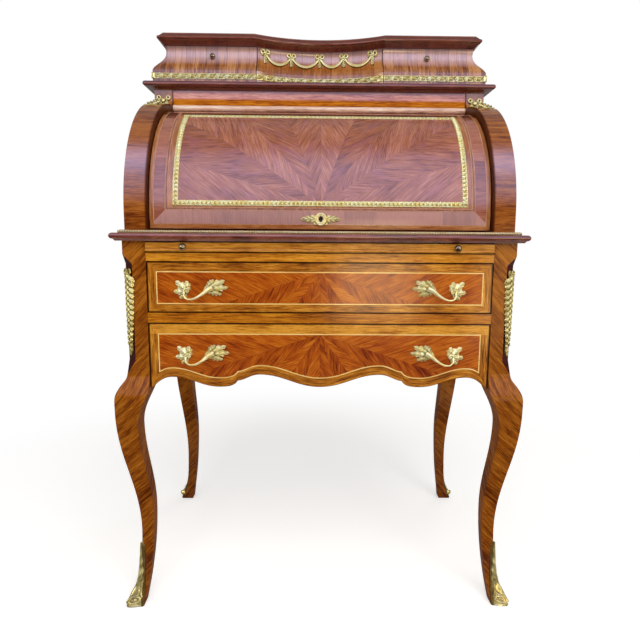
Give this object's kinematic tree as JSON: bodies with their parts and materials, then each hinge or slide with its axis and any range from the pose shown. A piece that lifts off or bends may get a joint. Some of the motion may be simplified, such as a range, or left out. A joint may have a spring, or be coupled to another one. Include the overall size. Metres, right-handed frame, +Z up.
{
  "type": "cylinder desk",
  "caption": "Small cylinder desk on cabriole legs: drawers and a writing slide below, a quarter-cylinder fall that rolls back, a gallery with small drawers above.",
  "frame": {"origin": "on the floor under the middle of the case", "axes": "+X to the sitter's right, +Y to the back of the desk, +Z up"},
  "size_m": [0.7684, 0.5164, 1.1686],
  "materials": {
    "kingwood": "polished",
    "drawer_veneer": "polished",
    "cylinder_veneer": "polished",
    "mahogany": "polished",
    "oak": "plain",
    "gilt_bronze": "gilt",
    "dark_brass": "worn",
    "leather": "tooled",
    "iron": "blackened"
  },
  "bodies": {
    "case": {"front_left_leg": "kingwood", "front_right_leg": "kingwood", "rear_left_leg": "kingwood", "rear_right_leg": "kingwood", "case_side_left": "kingwood", "case_side_right": "kingwood", "slide_rail": "kingwood", "drawer_rail": "kingwood", "quadrant_left": "kingwood", "quadrant_right": "kingwood", "frieze": "kingwood", "gallery_centre": "drawer_veneer", "gallery_side_left": "drawer_veneer", "gallery_side_right": "drawer_veneer", "desk_top": "mahogany", "cornice": "mahogany", "gallery_top": "mahogany", "nest": "mahogany", "case_back": "oak", "upper_back": "oak", "gallery_back": "oak", "gallery_dividers": "oak", "drawer_runners": "oak", "slide_bearers": "oak", "front_sabots": "gilt_bronze", "rear_sabots": "gilt_bronze", "corner_chutes": "gilt_bronze", "desk_top_beading": "gilt_bronze", "gallery_strip": "gilt_bronze", "festoon": "gilt_bronze", "bow_mounts": "gilt_bronze", "lock_strike": "dark_brass", "writing_leather": "leather", "pivot_pins": "iron"},
    "slide": {"slide_lip": "kingwood", "writing_slide": "mahogany", "slide_leather": "leather", "slide_knobs": "dark_brass"},
    "upper_drawer": {"upper_drawer_front": "drawer_veneer", "upper_drawer_box": "oak", "upper_drawer_bottom": "oak", "upper_drawer_pulls": "gilt_bronze"},
    "lower_drawer": {"lower_drawer_front": "drawer_veneer", "lower_drawer_box": "oak", "lower_drawer_bottom": "oak", "lower_drawer_pulls": "gilt_bronze"},
    "cylinder": {"cylinder_fall": "cylinder_veneer", "cylinder_frame": "gilt_bronze", "cylinder_escutcheon": "gilt_bronze", "cylinder_lock": "iron", "cylinder_arms": "iron"},
    "lock_bolt": {"cylinder_lock_bolt": "iron"},
    "gallery_drawer_left": {"gallery_drawer_left": "drawer_veneer", "gallery_drawer_left_strip": "gilt_bronze", "gallery_drawer_left_knob": "dark_brass"},
    "gallery_drawer_right": {"gallery_drawer_right": "drawer_veneer", "gallery_drawer_right_strip": "gilt_bronze", "gallery_drawer_right_knob": "dark_brass"},
    "nest_drawer_left": {"nest_drawer_left": "mahogany"},
    "nest_drawer_right": {"nest_drawer_right": "mahogany"}
  },
  "joints": [
    {"name": "writing_slide_pull", "type": "slide", "parent": "case", "child": "slide", "axis": [0, -1, 0], "range_m": [0, 0.25]},
    {"name": "upper_drawer_pull", "type": "slide", "parent": "case", "child": "upper_drawer", "axis": [0, -1, 0], "range_m": [0, 0.3]},
    {"name": "lower_drawer_pull", "type": "slide", "parent": "case", "child": "lower_drawer", "axis": [0, -1, 0], "range_m": [0, 0.3]},
    {"name": "gallery_drawer_left_pull", "type": "slide", "parent": "case", "child": "gallery_drawer_left", "axis": [0, -1, 0], "range_m": [0, 0.12]},
    {"name": "gallery_drawer_right_pull", "type": "slide", "parent": "case", "child": "gallery_drawer_right", "axis": [0, -1, 0], "range_m": [0, 0.12]},
    {"name": "nest_drawer_left_pull", "type": "slide", "parent": "case", "child": "nest_drawer_left", "axis": [0, -1, 0], "range_m": [0, 0.085]},
    {"name": "nest_drawer_right_pull", "type": "slide", "parent": "case", "child": "nest_drawer_right", "axis": [0, -1, 0], "range_m": [0, 0.085]},
    {"name": "cylinder_roll", "type": "hinge", "parent": "case", "child": "cylinder", "pos_m": [0, 0.009, 0.772], "axis": [-1, 0, 0], "range_deg": [0, 72]},
    {"name": "lock_bolt_throw", "type": "slide", "parent": "cylinder", "child": "lock_bolt", "axis": [0, 0, -1], "range_m": [0, 0.01]}
  ]
}
